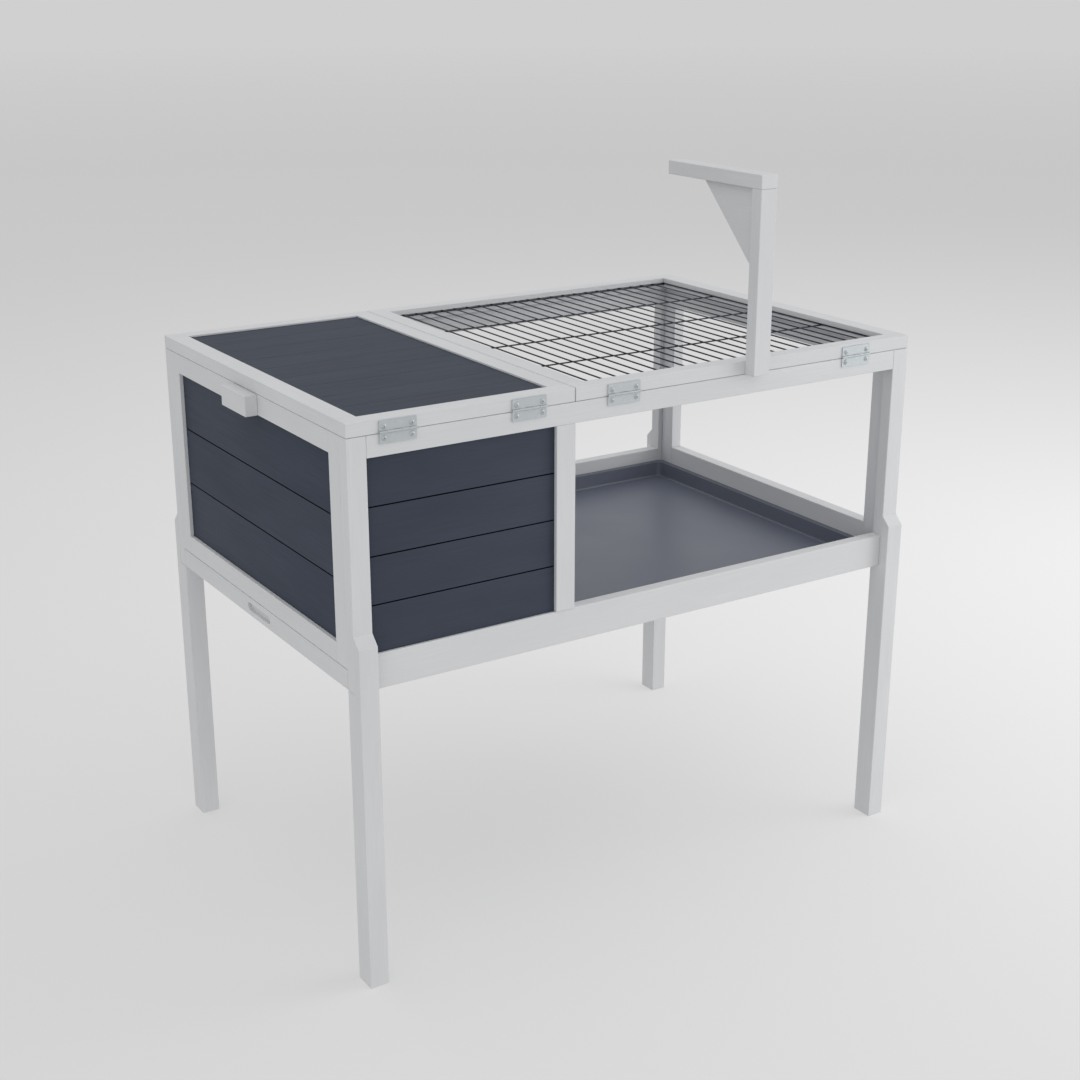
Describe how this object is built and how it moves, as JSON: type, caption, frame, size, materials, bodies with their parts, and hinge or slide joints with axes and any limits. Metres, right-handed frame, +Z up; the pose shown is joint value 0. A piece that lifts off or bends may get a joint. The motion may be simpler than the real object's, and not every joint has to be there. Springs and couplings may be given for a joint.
{
  "type": "tortoise house",
  "caption": "Timber tortoise house on legs: boarded sleeping room, open run, hinged roof and mesh lids, lamp stand on the mesh lid, and a slide-out tray.",
  "frame": {"origin": "on the floor under the middle of the overall box, which the lamp stand and the handle block widen a little at the hinge side and at the left end", "axes": "+X along the house from the sleeping room to the run, +Y from the hinge side to the back, +Z up"},
  "size_m": [0.9534, 0.634, 1.048],
  "materials": {
    "pale_timber": "painted, matt, light grey",
    "dark_boards": "painted, matt, slate grey",
    "dowel_wood": "bare beech",
    "coated_wire": "satin coating on steel wire",
    "tray_plastic": "moulded, satin",
    "hinge_steel": "zinc plated",
    "screw_steel": "zinc plated"
  },
  "bodies": {
    "frame": {"back_bottom_rail": "pale_timber", "back_mid_post": "pale_timber", "back_panel_boards": "dark_boards", "back_top_rail": "pale_timber", "frame_dowels": "dowel_wood", "front_bottom_rail": "pale_timber", "front_mid_post": "pale_timber", "front_panel_boards": "dark_boards", "front_top_rail": "pale_timber", "handle_block": "pale_timber", "handle_screws": "screw_steel", "hinge_frame_leaves": "hinge_steel", "hinge_frame_screws": "hinge_steel", "hinge_pins": "hinge_steel", "left_end_back_stile": "pale_timber", "left_end_bottom_rail": "pale_timber", "left_end_front_stile": "pale_timber", "left_end_panel_boards": "dark_boards", "left_end_top_rail": "pale_timber", "leg_back_left": "pale_timber", "leg_back_right": "pale_timber", "leg_front_left": "pale_timber", "leg_front_right": "pale_timber", "partition_boards": "dark_boards", "partition_jambs": "pale_timber", "partition_top_rail": "pale_timber", "post_back_left": "pale_timber", "post_back_right": "pale_timber", "post_front_left": "pale_timber", "post_front_right": "pale_timber", "right_end_back_stile": "pale_timber", "right_end_bottom_rail": "pale_timber", "right_end_front_stile": "pale_timber", "right_end_top_rail": "pale_timber", "runner_screws": "screw_steel", "tray_runners": "pale_timber"},
    "left_lid": {"left_lid_back_rail": "pale_timber", "left_lid_dowels": "dowel_wood", "left_lid_front_rail": "pale_timber", "left_lid_hinge_leaves": "hinge_steel", "left_lid_hinge_screws": "hinge_steel", "left_lid_left_rail": "pale_timber", "left_lid_right_rail": "pale_timber", "roof_boards": "dark_boards"},
    "mesh_lid": {"lamp_arm": "pale_timber", "lamp_gusset": "pale_timber", "lamp_mast": "pale_timber", "mesh_lid_back_rail": "pale_timber", "mesh_lid_dowels": "dowel_wood", "mesh_lid_front_rail": "pale_timber", "mesh_lid_hinge_leaves": "hinge_steel", "mesh_lid_hinge_screws": "hinge_steel", "mesh_lid_left_rail": "pale_timber", "mesh_lid_right_rail": "pale_timber", "wire_mesh": "coated_wire"},
    "drawer": {"drawer_front": "pale_timber", "drawer_screws": "screw_steel", "tray": "tray_plastic"}
  },
  "joints": [
    {"name": "left_lid_hinge", "type": "hinge", "parent": "frame", "child": "left_lid", "pos_m": [-0.28995, -0.299, 0.7723], "axis": [1, 0, 0], "range_deg": [0, 150]},
    {"name": "mesh_lid_hinge", "type": "hinge", "parent": "frame", "child": "mesh_lid", "pos_m": [0.17815, -0.299, 0.7723], "axis": [1, 0, 0], "range_deg": [0, 90]},
    {"name": "drawer_slide", "type": "slide", "parent": "frame", "child": "drawer", "axis": [-1, 0, 0], "range_m": [0, 0.8]}
  ]
}
